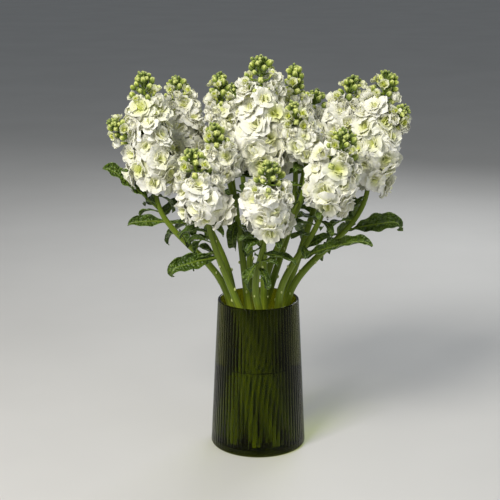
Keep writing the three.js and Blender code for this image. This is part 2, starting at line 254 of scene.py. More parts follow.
bm = bmesh.new()
disc = bmesh.ops.create_circle(
    bm, segments=rib_count * facets_per_rib, radius=1, cap_ends=True, cap_tris=True
)
ring = [vertex for vertex in disc["verts"] if vertex.co.length > 0.5]  # all but the middle
edges = [edge for edge in bm.edges if all(vertex in ring for vertex in edge.verts)]
set_ring(ring, *outside[0])
for radius, z in [*outside[1:], *lip, *inside]:
    grown = bmesh.ops.extrude_edge_only(bm, edges=edges)["geom"]
    edges = [part for part in grown if isinstance(part, bmesh.types.BMEdge)]
    ring = [part for part in grown if isinstance(part, bmesh.types.BMVert)]
    set_ring(ring, radius, z)
bmesh.ops.contextual_create(bm, geom=edges)
bmesh.ops.recalc_face_normals(bm, faces=bm.faces[:])

olive_glass = new_material(
    "olive_glass",
    {
        "Base Color": (0.115, 0.125, 0.004, 1),
        "Roughness": 0.01,
        "IOR": 1.5,
        "Transmission Weight": 1.0,
        "Specular Tint": (0.12, 0.12, 0.12, 1),
    },
)
glass_place = add_node(olive_glass, "TexCoord", {}).outputs["Object"]
waves = stretched_noise(olive_glass, glass_place, (1, 1, 0.15), Scale=55.0, Detail=1.0)
relief(olive_glass, waves, strength=0.02, distance=0.4 * mm)
pass_lamps(olive_glass, tint=(0.90, 0.92, 0.60))
stain = add_node(olive_glass, "VolumeAbsorption", {"Color": (0.56, 0.60, 0.10, 1), "Density": 75.0})
feed(olive_glass, "Volume", stain.outputs["Volume"], "Material Output")

vase = finished("vase_glass", bm, olive_glass)
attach(vase, "root")
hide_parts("vase")

# The water: it fills the vase to a little over half its height and creeps up the glass at its edge. It
# reaches a hair into the glass, so that no film of air shows between the two.
water_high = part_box("water")[1]
water_grip = 0.08 * mm
creep_height = 2.4 * mm
creep_width = 3.2 * mm
water_turns = 96
weld = 0.001 * mm  # where a form is closed, points nearer than this are merged

water_edge = wall_radius(water_high.z) - glass_wall + water_grip
section = [(0, glass_floor - water_grip), (bore_corner, glass_floor - water_grip)]
section += quarter(bore_corner + water_grip, glass_floor + edge_round, edge_round, -math.pi / 2)[1:]
for step in range(arc_steps + 1):
    share = step / arc_steps
    rise = creep_height * (1 - share) ** 2
    section.append((water_edge - creep_width * share, water_high.z + rise))
section.append((0, water_high.z))

bm = bmesh.new()
outline = [bm.verts.new((radius, 0, z)) for radius, z in section]
rims = [bm.edges.new(pair) for pair in zip(outline, outline[1:])]
bmesh.ops.spin(
    bm, geom=outline + rims, cent=(0, 0, 0), axis=(0, 0, 1), angle=math.tau, steps=water_turns, use_merge=True
)
bmesh.ops.remove_doubles(bm, verts=bm.verts[:], dist=weld)
bmesh.ops.recalc_face_normals(bm, faces=bm.faces[:])

still_water = new_material(
    "still_water",
    {"Base Color": (0.97, 1.0, 0.93, 1), "Roughness": 0.0, "IOR": 1.333, "Transmission Weight": 1.0},
)
ripple = speckle(still_water, scale=35.0, detail=1.0)
relief(still_water, ripple, strength=0.1, distance=0.5 * mm)
pass_lamps(still_water, tint=(0.97, 1.0, 0.94))

water = finished("vase_water", bm, still_water)
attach(water, "root")
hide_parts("water")


# The stalks: twelve cut stems, each standing on the vase's floor, leaning across the bunch and leaving
# through the mouth. A stalk curves up into its flower spike and thins to the tip, and has pale scars where
# leaves were stripped.
cluster_height = 24 * mm  # of the knot of buds at a spike's tip


@dataclass
class Spike:
    """A flower spike, in millimetres: its lowest floret, topmost bud and radius over the open florets."""

    base: tuple
    tip: tuple
    radius: float
    bare: float = 2  # bare stalk between the open florets and the buds
    crown: float = 24  # how far down the open flowers are mixed with buds
    fork: float = 0  # where it branches off, as a share of the way up the stem's first spike
    shoots: tuple = ()  # (share of the spike, tip) of each side shoot

    def __post_init__(self):
        self.foot = Vector(self.base) * mm
        self.top = Vector(self.tip) * mm
        self.axis = (self.top - self.foot).normalized()
        self.cluster = self.top - self.axis * cluster_height
        self.open_length = (self.cluster - self.foot).length - self.bare * mm


@dataclass
class Stem:
    """A stem: where it leaves the mouth (angle in degrees, distance from the middle), its spikes and leaves.

    A leaf is (share of the curve above the mouth, compass angle, rise, length, width, droop, roll, tip
    curl), with angles in degrees.
    """

    mouth: tuple
    spikes: list
    leaves: list


stems = [
    Stem(
        (185, 41),
        [Spike((-132, -10, 344), (-146, -10, 500), 36, crown=40, shoots=((0.34, (-188, -30, 440)),))],
        [
            (0.84, 194, 46, 96, 24, 4, -40, 40),
            (0.76, 186, 6, 52, 20, 8, -55, 40),
            (0.6, 80, 20, 55, 16, 50, 0, 40),
        ],
    ),
    Stem(
        (225, 41),
        [Spike((-64, -72, 322), (-82, -100, 418), 35)],
        [(0.56, 208, -2, 74, 28, 6, -50, 130), (0.8, 150, 10, 40, 15, 70, -20, 40)],
    ),
    Stem(
        (190, 15),
        [
            Spike((-40, -29, 372), (-58, -52, 440), 26),
            Spike((-40, 28, 398), (-52, 34, 494), 26, bare=13, fork=0.45),
        ],
        [(0.6, 250, 0, 48, 17, 85, 0, 40), (0.75, 120, 20, 50, 16, 50, 0, 40)],
    ),
    Stem(
        (268, 41),
        [Spike((8, -86, 312), (14, -116, 404), 35)],
        [(0.55, 215, -8, 42, 17, 75, -20, 40), (0.5, 300, 5, 36, 13, 60, 20, 40)],
    ),
    Stem(
        (300, 15),
        [Spike((4, -8, 368), (3, -10, 520), 39)],
        [(0.55, 200, 5, 46, 16, 70, -20, 40), (0.66, 100, 15, 50, 16, 50, 0, 40)],
    ),
    Stem(
        (310, 41),
        [Spike((82, -58, 336), (106, -84, 438), 37)],
        [(0.45, 346, 27, 104, 23, 10, 40, 60), (0.85, 300, 30, 38, 11, 60, 20, 40)],
    ),
    Stem(
        (350, 41),
        [Spike((140, -4, 346), (162, -4, 500), 36, crown=36, shoots=((0.42, (186, -26, 458)),))],
        [(0.66, 352, 18, 80, 27, 8, 50, 150), (0.93, 120, -15, 50, 17, 50, 30, 40)],
    ),
    Stem(
        (25, 41),
        [Spike((96, 34, 392), (126, 44, 488), 30)],
        [(0.6, 40, 10, 76, 20, 45, 20, 40), (0.8, 10, 10, 50, 16, 50, 30, 40)],
    ),
    Stem(
        (60, 15),
        [
            Spike((57, -40, 398), (40, -62, 470), 23),
            Spike((48, 36, 400), (46, 44, 504), 24, bare=24, fork=0.4),
        ],
        [(0.7, 90, 15, 50, 16, 50, 0, 40)],
    ),
    Stem(
        (65, 41),
        [Spike((62, 82, 356), (80, 116, 462), 36)],
        [(0.5, 70, 8, 84, 22, 45, 0, 40), (0.75, 20, 5, 60, 18, 45, 20, 40)],
    ),
    Stem(
        (108, 41),
        [Spike((-22, 84, 360), (-32, 116, 470), 36)],
        [(0.5, 100, 5, 80, 22, 45, 0, 40), (0.72, 140, 10, 60, 18, 45, 0, 40)],
    ),
    Stem(
        (148, 41),
        [Spike((-92, 52, 362), (-108, 66, 486), 33)],
        [(0.55, 150, 10, 82, 22, 45, -20, 40), (0.78, 190, 5, 60, 18, 45, -30, 40)],
    ),
]

stalk_foot_radius = 5.5 * mm
stalk_neck_radius = 4.9 * mm
spike_foot_radius = 3.1 * mm
spike_tip_radius = 1.7 * mm
stalk_sides = 16
straight_steps = 12
axis_share = 0.9  # how far up a spike its stalk reaches, inside the knot of buds
fork_share = 0.8  # a branch's thickness at the fork, as a share of the main stalk's
neck_height = vase_high.z + 6 * mm
foot_turn = math.radians(118)  # from a stem's side of the mouth round to its foot
foot_spread = 1.12  # its distance from the middle, against the stem's in the mouth
foot_lift = 0.35 * mm
bend_reach = 0.36  # of a curve's span
bend_points = 41
golden_angle = math.radians(137.508)
shoot_foot_radius = 1.9 * mm
shoot_tip_radius = 1.4 * mm
shoot_sides = 10
shoot_points = 9
shoot_reach = 0.85  # how far towards its topmost bud a shoot's stalk reaches
shoot_sag = 6 * mm
scar_size = 2.5 * mm
scar_form = (0.55, 1.0, 0.7)  # width, height and depth, as shares of the size
scar_sizes = (0.7, 1.1)
scar_pitch = 19 * mm
scar_pitches = (0.8, 1.2)
scar_lift = 0.1 * mm
scar_steps = 24
# The stalks are paler low down and darker high up. This is partly their own woodier and greener parts, and
# partly painted light on the stalks seen through the dark glass and painted shade under the flower heads.
paler_and_painted_light_below = 165 * mm  # below this the stalks are paler: partly their own colour, partly painted light
darker_and_painted_shade_above = 210 * mm  # above this darker: partly their own colour, partly painted shade
upright = Vector((0, 0, 1))


def mouth_point(stem):
    """Where a stem's middle passes the vase's mouth."""
    angle, distance = stem.mouth
    return Matrix.Rotation(math.radians(angle), 3, "Z") @ Vector((distance * mm, 0, neck_height))


def foot_point(mouth):
    """The stalk's cut end. It leans with its stalk, so its lowest edge rests on the glass."""
    foot = Matrix.Rotation(foot_turn, 3, "Z") @ (mouth * foot_spread)
    foot.z = glass_floor
    lean = upright.angle(mouth - foot)
    foot.z = glass_floor + foot_lift + stalk_foot_radius * math.sin(lean)
    return foot


def bend(start, heading, spike):
    """Points of the smooth curve from a place on a stem to the foot of a spike."""
    reach = bend_reach * (spike.foot - start).length
    return geometry.interpolate_bezier(
        start, start + heading * reach, spike.foot - spike.axis * reach, spike.foot, bend_points
    )


def lowest_curve(stem):
    """The curve of the stem's first spike, from the mouth up."""
    mouth = mouth_point(stem)
    return bend(mouth, (mouth - foot_point(mouth)).normalized(), stem.spikes[0])


def rounded(bm, points, radii, sides, skin=0):
    """A round stalk along points, closed at both ends: a grid wrapped round the line and sewn up."""
    rows = len(points)
    grid = bmesh.ops.create_grid(bm, x_segments=sides, y_segments=rows - 1, size=0.5, calc_uvs=True)["verts"]
    across = (points[1] - points[0]).orthogonal().normalized()
    frames = []
    for row, point in enumerate(points):
        along = (points[min(row + 1, rows - 1)] - points[max(row - 1, 0)]).normalized()
        across = (across - along * across.dot(along)).normalized()
        frames.append((point, across.copy(), along.cross(across), radii[row]))
    for vertex in grid:
        turn = math.tau * vertex.co.x
        point, across, beside, radius = frames[round((vertex.co.y + 0.5) * (rows - 1))]
        vertex.co = point + radius * (across * math.cos(turn) + beside * math.sin(turn))
    faces = {face for vertex in grid for face in vertex.link_faces}
    for face in faces:
        face.material_index = skin
    seam = [vertex for vertex in grid if vertex.is_boundary]
    bmesh.ops.remove_doubles(bm, verts=seam, dist=weld)
    ends = [edge for face in faces for edge in face.edges if edge.is_boundary]
    caps = bmesh.ops.holes_fill(bm, edges=list(set(ends)), sides=0)["faces"]
    for cap in caps:
        cap.material_index = skin


def facing(point, direction, turn=0, size=1):
    """A frame at a point that carries +Z onto a direction."""
    aim = direction.to_track_quat("Z", "Y").to_matrix().to_4x4()
    return Matrix.Translation(point) @ aim @ Matrix.Rotation(turn, 4, "Z") @ Matrix.Scale(size, 4)


def stamp(bm, shape, matrix, **values):
    """Adds a copy of a small mesh, moved by a matrix, with a value of its own for each attribute named."""
    copied = shape.copy()
    copied.transform(matrix)
    for name, value in values.items():
        layer = copied.attributes.new(name, "FLOAT", "POINT")
        layer.data.foreach_set("value", [value] * len(copied.vertices))
    bm.from_mesh(copied)
    bpy.data.meshes.remove(copied)


def tapered(start, end, count):
    """Radii in even steps from one end of a stalk to the other."""
    return [start + (end - start) * step / (count - 1) for step in range(count)]


def blank():
    """An empty mesh with a UV map."""
    bm = bmesh.new()
    bm.loops.layers.uv.new("UVMap")
    return bm


def spike_stalk(bm, foot, mouth, main, spike):
    """A spike's stalk, from its cut end or from the fork it grows at, with the axis inside the spike."""
    if spike.fork:
        start = round(spike.fork * (bend_points - 1))
        heading = (main[start + 1] - main[start - 1]).normalized()
        curve = bend(main[start], heading, spike)
        lower = []
        curve_radius = stalk_neck_radius * fork_share
    else:
        curve = main
        lower = [foot.lerp(mouth, step / straight_steps) for step in range(straight_steps)]
        curve_radius = stalk_neck_radius
    shares = [axis_share * step / straight_steps for step in range(1, straight_steps + 1)]
    upper = [spike.foot.lerp(spike.top, share) for share in shares]
    radii = tapered(stalk_foot_radius, stalk_neck_radius, straight_steps + 1)[: len(lower)]
    radii += tapered(curve_radius, spike_foot_radius, bend_points)
    radii += tapered(spike_foot_radius, spike_tip_radius, straight_steps)
    rounded(bm, [*lower, *curve, *upper], radii, stalk_sides)


def shoot_stalk(bm, spike, share, tip):
    """The stalk of a side shoot, which sags and then rises to the shoot's buds."""
    root = spike.foot.lerp(spike.top, share)
    end = root.lerp(Vector(tip) * mm, shoot_reach)
    knee = root.lerp(end, 0.5) - spike.axis * shoot_sag
    points = geometry.interpolate_bezier(root, knee, knee, end, shoot_points)
    rounded(bm, points, tapered(shoot_foot_radius, shoot_tip_radius, shoot_points), shoot_sides)


def leaf_scars(bm, foot, mouth, main, draw):
    """The pale scars, in turn round the stalk, from its cut end to halfway up its curve."""
    line = [foot.lerp(mouth, step / scar_steps) for step in range(scar_steps + 1)]
    line += main[1 : bend_points // 2]
    walked = scar_pitch * draw.random()
    turn = draw.random() * math.tau
    for before, after in zip(line, line[1:]):
        walked += (after - before).length
        if walked > scar_pitch:
            walked -= scar_pitch * draw.uniform(*scar_pitches)
            turn += golden_angle
            out = Matrix.Rotation(turn, 3, "Z") @ Vector((1, 0, 0))
            place = before + out * (stalk_neck_radius + scar_lift)
            stamp(bm, scar, facing(place, out, size=draw.uniform(*scar_sizes)))


def blend(material, factor, first, second, kind="MIX"):
    """One colour laid over another by a factor."""
    mix = add_node(material, "MixRGB", {"Fac": factor, "Color1": first, "Color2": second}, blend_type=kind)
    return mix.outputs["Color"]


bm = blank()
bmesh.ops.create_uvsphere(bm, u_segments=10, v_segments=6, radius=scar_size, calc_uvs=True)
bmesh.ops.scale(bm, vec=scar_form, verts=bm.verts[:])
for face in bm.faces:
    face.material_index = 1
scar = mesh_of("scar", bm)

stalk_skin = new_material("stalk_skin", {"Roughness": 0.5, "Specular IOR Level": 0.3, "Sheen Weight": 0.1})
stalk_uv = add_node(stalk_skin, "UVMap", {}).outputs["UV"]
streaks = stretched_noise(stalk_skin, stalk_uv, (16, 1.5, 1), Scale=1.0, Detail=4.0, Roughness=0.6)
# Painted light and shade by height: the pale lower green is partly painted light for the stalks inside the
# dark glass, and the dark upper green is partly painted shade under the heads.
dark_green_and_painted_shade = graded(
    stalk_skin,
    streaks,
    [(0.30, (0.085, 0.135, 0.006)), (0.5, (0.150, 0.220, 0.010)), (0.72, (0.27, 0.34, 0.035))],
)
pale_green_and_painted_light = graded(
    stalk_skin, streaks, [(0.30, (0.36, 0.44, 0.02)), (0.5, (0.52, 0.60, 0.04)), (0.72, (0.68, 0.74, 0.12))]
)
stalk_place = add_node(stalk_skin, "TexCoord", {}).outputs["Object"]
stalk_height = add_node(stalk_skin, "SeparateXYZ", {"Vector": stalk_place}).outputs["Z"]
dark_and_painted_shade_share = add_node(
    stalk_skin, "MapRange", {"Value": stalk_height, "From Min": paler_and_painted_light_below, "From Max": darker_and_painted_shade_above}
).outputs["Result"]
feed(stalk_skin, "Base Color", blend(stalk_skin, dark_and_painted_shade_share, pale_green_and_painted_light, dark_green_and_painted_shade))
relief(stalk_skin, streaks, strength=0.35, distance=0.5 * mm)

scar_skin = new_material("scar_skin", {"Roughness": 0.7})
scar_spots = speckle(scar_skin, scale=900.0, detail=2.0)
scar_colour = graded(scar_skin, scar_spots, [(0.35, (0.42, 0.50, 0.12)), (0.7, (0.70, 0.74, 0.34))])
feed(scar_skin, "Base Color", scar_colour)

for number, stem in enumerate(stems, 1):
    draw = random.Random(number)
    bm = blank()
    mouth = mouth_point(stem)
    foot = foot_point(mouth)
    main = lowest_curve(stem)
    for spike in stem.spikes:
        spike_stalk(bm, foot, mouth, main, spike)
        for share, tip in spike.shoots:
            shoot_stalk(bm, spike, share, tip)
    leaf_scars(bm, foot, mouth, main, draw)
    stalk = finished(f"stalk_{number:02d}", bm, stalk_skin, scar_skin)
    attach(stalk, "root")
    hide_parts(f"stem_{number:02d}")

# The leaves: long, soft blades with round ends, left on the upper stalk. A leaf is a thin sheet puckered
# between its veins, with a pale midrib beneath, and its edges roll and wave as it dries.
leaf_thickness = 0.5 * mm
narrow_root = 0.15  # the width at the root, as a share of the widest
widest_at = 0.6  # of the length
blunt_end = 0.99  # 1 would close the end to a point
droop_rate = 1.6  # a leaf's slope falls by this times its droop
edge_curls = (0.5, 1.1)  # how far the edges roll, in radians
root_curl = 0.4  # the roll at the root, where it is 1.4 at the end
frill_pitch = 19 * mm
frill_share = 0.09  # the height of the edge's waves, as a share of the width
sag_share = 0.10  # how far the halves lift and sink in turn, as a share of the width
sag_turn = 5.5  # radians
pucker_depth = 0.9 * mm
pucker_size = 4.5 * mm
pucker_growth = 6  # the puckers are full from a sixth of the length
groove_share = 0.12  # the groove over the midrib, as a share of half the width
groove_depth = 0.4 * mm
rib_share = 0.065  # the midrib's radius at the root, as a share of the width
rib_tip_radius = 0.25 * mm
rib_drop = 0.5 * mm
rib_sides = 8
large_cells = (12, 32)  # across and along a leaf
small_cells = (6, 14)
small_leaves = 8
small_zone = (0.5, 0.98)  # where small leaves grow, as shares of the curve above the mouth
small_tip_curl = 30
small_leaf = {
    "compass": (0, 360),
    "rise": (-10, 50),
    "length": (26, 50),
    "droop": (10, 60),
    "roll": (-40, 40),
    "slimness": (0.3, 0.4),
}


def between(pair, share):
    """The value at a share of the way from the first of a pair to the second."""
    start, end = pair
    return start + (end - start) * share


def drawn_from(ranges, draw):
    """A random value from each named range, in their order."""
    return SimpleNamespace(**{name: draw.uniform(*limits) for name, limits in ranges.items()})


def arched(root, compass, rise, length, droop, roll, tip, steps):
    """The line of a leaf from its root: (point, sideways, upward) at each step, rolled about the line."""
    heading = Matrix.Rotation(math.radians(compass), 3, "Z") @ Vector((1, 0, 0))
    flank = Matrix.Rotation(math.radians(roll), 3, heading) @ heading.cross(upright)
    point = root.copy()
    rows = []
    for step in range(steps + 1):
        share = step / steps
        last_quarter = max(4 * share - 3, 0)
        slope = math.radians(rise - droop * share * droop_rate - tip * last_quarter**2)
        along = heading * math.cos(slope) + upright * math.sin(slope)
        side = (flank - along * along.dot(flank)).normalized()
        if step:
            point = point + along * (length / steps)
        rows.append((point.copy(), side, side.cross(along)))
    return rows


def half_width(width, share):
    """Half of a leaf's width at a share of its length: slim at the root and round at the end."""
    widening = narrow_root + (1 - narrow_root) * math.sin(math.pi / 2 * min(share / widest_at, 1)) ** 2
    return width / 2 * widening * math.sqrt(1 - blunt_end * share**5)


def leaf_blade(bm, rows, width, columns, draw):
    """A puckered sheet along a leaf's line, with rolled and waved edges and a rib under its middle."""
    phase = draw.uniform(0, math.tau)
    curled = draw.uniform(*edge_curls)
    length = sum((after[0] - before[0]).length for before, after in zip(rows, rows[1:]))
    steps = len(rows) - 1
    grid = bmesh.ops.create_grid(bm, x_segments=columns, y_segments=steps, size=0.5, calc_uvs=True)["verts"]
    for vertex in grid:
        across = vertex.co.x * 2
        share = vertex.co.y + 0.5
        point, side, up = rows[round(share * steps)]
        half = half_width(width, share)
        curl = curled * (root_curl + share)
        wave = phase + math.tau * share * length / frill_pitch + across
        frill = frill_share * width * across**2 * math.sin(wave)
        sag = sag_share * width * math.sin(phase + sag_turn * share) * across
        raised = half * (1 - math.cos(curl * across)) / curl + frill + sag
        place = point + side * (half * math.sin(curl * across) / curl)
        groove = math.exp(-((across / groove_share) ** 2))
        roughness = (1 - groove) * min(share * pucker_growth, 1)
        pucker = pucker_depth * noise.noise(place / pucker_size) * roughness
        vertex.co = place + up * (raised + pucker - groove_depth * groove)
    faces = list({face for vertex in grid for face in vertex.link_faces})
    bmesh.ops.solidify(bm, geom=faces, thickness=leaf_thickness)
    rib = [point - up * rib_drop for point, _, up in rows[: steps - 1]]
    rounded(bm, rib, tapered(rib_share * width, rib_tip_radius, len(rib)), rib_sides, skin=1)


leaf_skin = new_material("leaf_skin", {"Roughness": 0.42, "Specular IOR Level": 0.4})
leaf_uv = add_node(leaf_skin, "UVMap", {}).outputs["UV"]
leaf_place = add_node(leaf_skin, "TexCoord", {}).outputs["Object"]
puckers = add_node(
    leaf_skin, "TexVoronoi", {"Vector": leaf_place, "Scale": 260.0, "Smoothness": 0.25}, feature="SMOOTH_F1"
).outputs["Distance"]
blotches = speckle(leaf_skin, scale=70.0, detail=4.0)
leaf_green = graded(
    leaf_skin,
    blotches,
    [(0.3, (0.036, 0.070, 0.005)), (0.5, (0.068, 0.122, 0.008)), (0.75, (0.130, 0.200, 0.018))],
)
# Painted highlight and shade: the pucker pattern makes the green paler on the domes' tops, a painted
# highlight, and darker in the grooves between them, painted shade.
pucker_painted_light_and_shade = graded(leaf_skin, puckers, [(0.15, (1.5, 1.45, 1.3)), (0.5, (0.74, 0.76, 0.74))])
green_with_painted_pucker_light = blend(leaf_skin, 1.0, leaf_green, pucker_painted_light_and_shade, "MULTIPLY")
leaf_across = add_node(leaf_skin, "SeparateXYZ", {"Vector": leaf_uv}).outputs["X"]
off_middle = add_node(leaf_skin, "Math", {0: leaf_across, 1: 0.5}, operation="SUBTRACT").outputs["Value"]
from_rib = add_node(leaf_skin, "Math", {0: off_middle}, operation="ABSOLUTE").outputs["Value"]
midrib_mask = graded(leaf_skin, from_rib, [(0.015, (1, 1, 1)), (0.05, (0, 0, 0))])
edge_mask = graded(leaf_skin, from_rib, [(0.47, (0, 0, 0)), (0.5, (1, 1, 1))])
ribbed_green = blend(leaf_skin, midrib_mask, green_with_painted_pucker_light, (0.26, 0.36, 0.12, 1))
edged_green = blend(leaf_skin, edge_mask, ribbed_green, (0.20, 0.29, 0.09, 1))
feed(leaf_skin, "Base Color", edged_green)
relief(leaf_skin, puckers, strength=1.0, distance=-3.5 * mm)

for number, stem in enumerate(stems, 1):
    draw = random.Random(100 + number)
    bm = blank()
    curve = lowest_curve(stem)
    for share, compass, rise, length, width, droop, roll, tip in stem.leaves:
        root = curve[round(share * (bend_points - 1))]
        columns, steps = large_cells
        line = arched(root, compass, rise, length * mm, droop, roll, tip, steps)
        leaf_blade(bm, line, width * mm, columns, draw)
    for place in range(small_leaves):
        share = between(small_zone, (place + draw.random()) / small_leaves)
        root = curve[round(share * (bend_points - 1))]
        leaf = drawn_from(small_leaf, draw)
        length = leaf.length * mm
        columns, steps = small_cells
        line = arched(root, leaf.compass, leaf.rise, length, leaf.droop, leaf.roll, small_tip_curl, steps)
        leaf_blade(bm, line, length * leaf.slimness, columns, draw)
    leaves = finished(f"leaves_{number:02d}", bm, leaf_skin, stalk_skin)
    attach(leaves, "root")
    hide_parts(f"stem_{number:02d}")

# The petals: thin, waved sheets in whorls, the outer ones broad and spread flat, the inner ones small,
# upright and crumpled. Fewer whorls, cupped or curled inwards, make the young and the closed flowers near the
# tips. A flower has unit radius, and a petal's slope goes from its rise to its spread, in degrees.
petal_thickness = 0.024
open_whorls = [
    {"petals": 6, "length": 1.04, "width": 0.92, "rise": 46, "spread": -28, "cells": (5, 4)},
    {"petals": 5, "length": 0.88, "width": 0.86, "rise": 60, "spread": 0, "cells": (4, 4)},
    {"petals": 4, "length": 0.68, "width": 0.74, "rise": 72, "spread": 30, "cells": (4, 3)},
    {"petals": 2, "length": 0.56, "width": 0.60, "rise": 76, "spread": 80, "cells": (3, 2)},
]
young_whorls = [
    {"petals": 5, "length": 1.25, "width": 1.05, "rise": 30, "spread": 75, "cells": (3, 3)},
    {"petals": 4, "length": 0.95, "width": 0.85, "rise": 48, "spread": 100, "cells": (3, 2)},
    {"petals": 3, "length": 0.70, "width": 0.65, "rise": 65, "spread": 130, "cells": (2, 2)},
]
closed_whorls = [
    {"petals": 4, "length": 1.75, "width": 1.35, "rise": 15, "spread": 118, "cells": (3, 4)},
    {"petals": 4, "length": 1.50, "width": 1.10, "rise": 32, "spread": 110, "cells": (3, 3)},
    {"petals": 2, "length": 1.20, "width": 0.80, "rise": 50, "spread": 105, "cells": (2, 2)},
]
petal_lobes = 5
lobe_depth = 0.07
claw_width = 0.35  # as a share of the petal's width
claw_flare = 1.3
wave_across = 4.4  # radians
wave_along = 2.5
claw_reach = 0.07  # of the outermost whorl, from the flower's middle
whorl_inset = 0.015
whorl_lift = 0.03
petal_jitter = {"size": (0.84, 1.14), "turn": (-0.2, 0.2)}
petal_form = {
    "rise": (-14, 14),
    "spread": (-32, 32),
    "phase": (0, math.tau),
    "frill": (0.05, 0.13),
    "skew": (-0.2, 0.2),
    "fold": (-0.40, 0.25),
}
fullness = 1.07  # a head's radius, as a share of its spike's
slimmest_head = 30  # millimetres, as the spikes' radii are
floret_share = 0.53  # the largest floret's radius, as a share of the head's
least_floret = 15 * mm
floret_density = 2.4  # at 2, the florets' faces would just cover the head's side
floret_zone = (0.07, 0.87)  # from the lowest to the topmost floret, as shares of the open length
floret_sizes = (1.04, 0.90)  # the lowest and the topmost floret's
floret_rises = (-24, 48)
joint_drop = 0.25  # how far below a floret its stalk starts, as a share of its distance out
shoot_clearance = 10 * mm
seat_jitter = {
    "size": (0.86, 1.08),
    "rise": (-20, 20),
    "out": (0.84, 1.08),
    "turn": (-0.2, 0.2),
    "swing": (-0.35, 0.35),
}


def petal(bm, length, width, rise, spread, cells, draw):
    """One petal, its claw at the origin, growing up and out along +X: a round grid bent along its length."""
    form = drawn_from(petal_form, draw)
    steep = math.radians(rise + form.rise)
    bent = math.radians(spread + form.spread) - steep
    columns, rows = cells
    grid = bmesh.ops.create_grid(bm, x_segments=columns, y_segments=rows, size=0.5, calc_uvs=True)["verts"]
    for vertex in grid:
        square = 2 * vertex.co.xy
        across = square.x * math.sqrt(1 - square.y**2 / 2)
        climb = square.y * math.sqrt(1 - square.x**2 / 2)
        lobes = math.cos(petal_lobes * math.atan2(across, climb) + form.phase)
        scallop = 1 + lobe_depth * math.hypot(across, climb) ** 3 * lobes
        share = max((1 + climb * scallop) / 2, 0) ** 0.8
        half = width / 2 * scallop * min(claw_width + claw_flare * share, 1)
        pitch = steep + bent * share
        out = length * (math.sin(pitch) - math.sin(steep)) / bent
        up = length * (math.cos(steep) - math.cos(pitch)) / bent
        wave = math.sin(form.phase + wave_across * across + wave_along * share)
        cup = form.fold * half * across**2 + length * form.frill * share**1.4 * wave
        beside = half * across + length * form.skew * share**2
        vertex.co = (out - math.sin(pitch) * cup, beside, up + math.cos(pitch) * cup)
    return grid


def floret(whorls, draw):
    """A double flower of about unit radius that faces +Z, with each point's distance from its middle."""
    bm = blank()
    reach = bm.verts.layers.float.new("reach")
    for level, whorl in enumerate(whorls):
        petals = whorl["petals"]
        shape = {key: value for key, value in whorl.items() if key != "petals"}
        shift = (claw_reach - whorl_inset * level, 0, whorl_lift * level)
        for place in range(petals):
            jitter = drawn_from(petal_jitter, draw)
            turn = math.tau * (place + 0.5 * (level % 2) + jitter.turn) / petals
            made = petal(bm, draw=draw, **shape)
            bmesh.ops.scale(bm, vec=Vector((1, 1, 1)) * jitter.size, verts=made)
            bmesh.ops.translate(bm, vec=shift, verts=made)
            bmesh.ops.rotate(bm, cent=(0, 0, 0), matrix=Matrix.Rotation(turn, 3, "Z"), verts=made)
    for vertex in bm.verts:
        vertex[reach] = vertex.co.xy.length
    bmesh.ops.solidify(bm, geom=bm.faces[:], thickness=petal_thickness)
    return bm


def florets(name, whorls, count):
    """Some different flowers of one age."""
    return [mesh_of(f"{name}_{k}", floret(whorls, random.Random(f"{name} {k}"))) for k in range(count)]


open_florets = florets("open", open_whorls, count=7)
young_florets = florets("young", young_whorls, count=3)
closed_florets = florets("closed", closed_whorls, count=3)

petal_skin = new_material(
    "petal_skin",
    {
        "Roughness": 0.5,
        "Subsurface Weight": 0.12,
        "Subsurface Scale": 2.5 * mm,
        "Subsurface Radius": (1.0, 1.0, 0.6),
        "Sheen Weight": 0.15,
        "Specular IOR Level": 0.35,
    },
)
petal_reach = add_node(petal_skin, "Attribute", {}, attribute_name="reach").outputs["Fac"]
petal_age = add_node(petal_skin, "Attribute", {}, attribute_name="green").outputs["Fac"]
petal_uv = add_node(petal_skin, "UVMap", {}).outputs["UV"]
veining = stretched_noise(petal_skin, petal_uv, (14, 2, 1), Scale=1.0, Detail=3.0)
petal_white = graded(
    petal_skin,
    petal_reach,
    [
        (0.05, (0.80, 0.84, 0.36)),
        (0.22, (0.91, 0.91, 0.60)),
        (0.40, (0.95, 0.94, 0.77)),
        (0.80, (0.96, 0.95, 0.86)),
    ],
)
vein_shade = graded(petal_skin, veining, [(0.3, (0.93, 0.94, 0.90)), (0.6, (1, 1, 1))])
veined_white = blend(petal_skin, 1.0, petal_white, vein_shade, "MULTIPLY")
inner_share = add_node(
    petal_skin,
    "MapRange",
    {"Value": petal_reach, "From Min": 0.15, "From Max": 0.75, "To Min": 1.0, "To Max": 0.25},
).outputs["Result"]
green_share = add_node(petal_skin, "Math", {0: petal_age, 1: inner_share}, operation="MULTIPLY")
young_green = blend(petal_skin, green_share.outputs["Value"], veined_white, (0.60, 0.66, 0.06, 1))
feed(petal_skin, "Base Color", young_green)
relief(petal_skin, veining, strength=0.3, distance=0.4 * mm)


def in_spike(spike, turn, out, along, rise):
    """A place beside a spike, turned round it and out from it, and a direction rising from its side."""
    frame_turn = upright.rotation_difference(spike.axis).to_matrix() @ Matrix.Rotation(turn, 3, "Z")
    place = spike.foot + frame_turn @ Vector((out, 0, along))
    return place, frame_turn @ Vector((math.cos(rise), 0, math.sin(rise)))


def in_shoot(spike, centre):
    """Whether a side shoot of the spike stands where a floret would."""
    for share, tip in spike.shoots:
        root = spike.foot.lerp(spike.top, share)
        near, walk = geometry.intersect_point_line(centre, root, Vector(tip) * mm)
        if walk > 0 and (centre - near).length < shoot_clearance:
            return True
    return False


def bulge(share):
    """A floret's distance from the axis, as a share of the head's radius: most a quarter of the way up."""
    return 0.66 + 0.16 * share - 0.30 * share**2


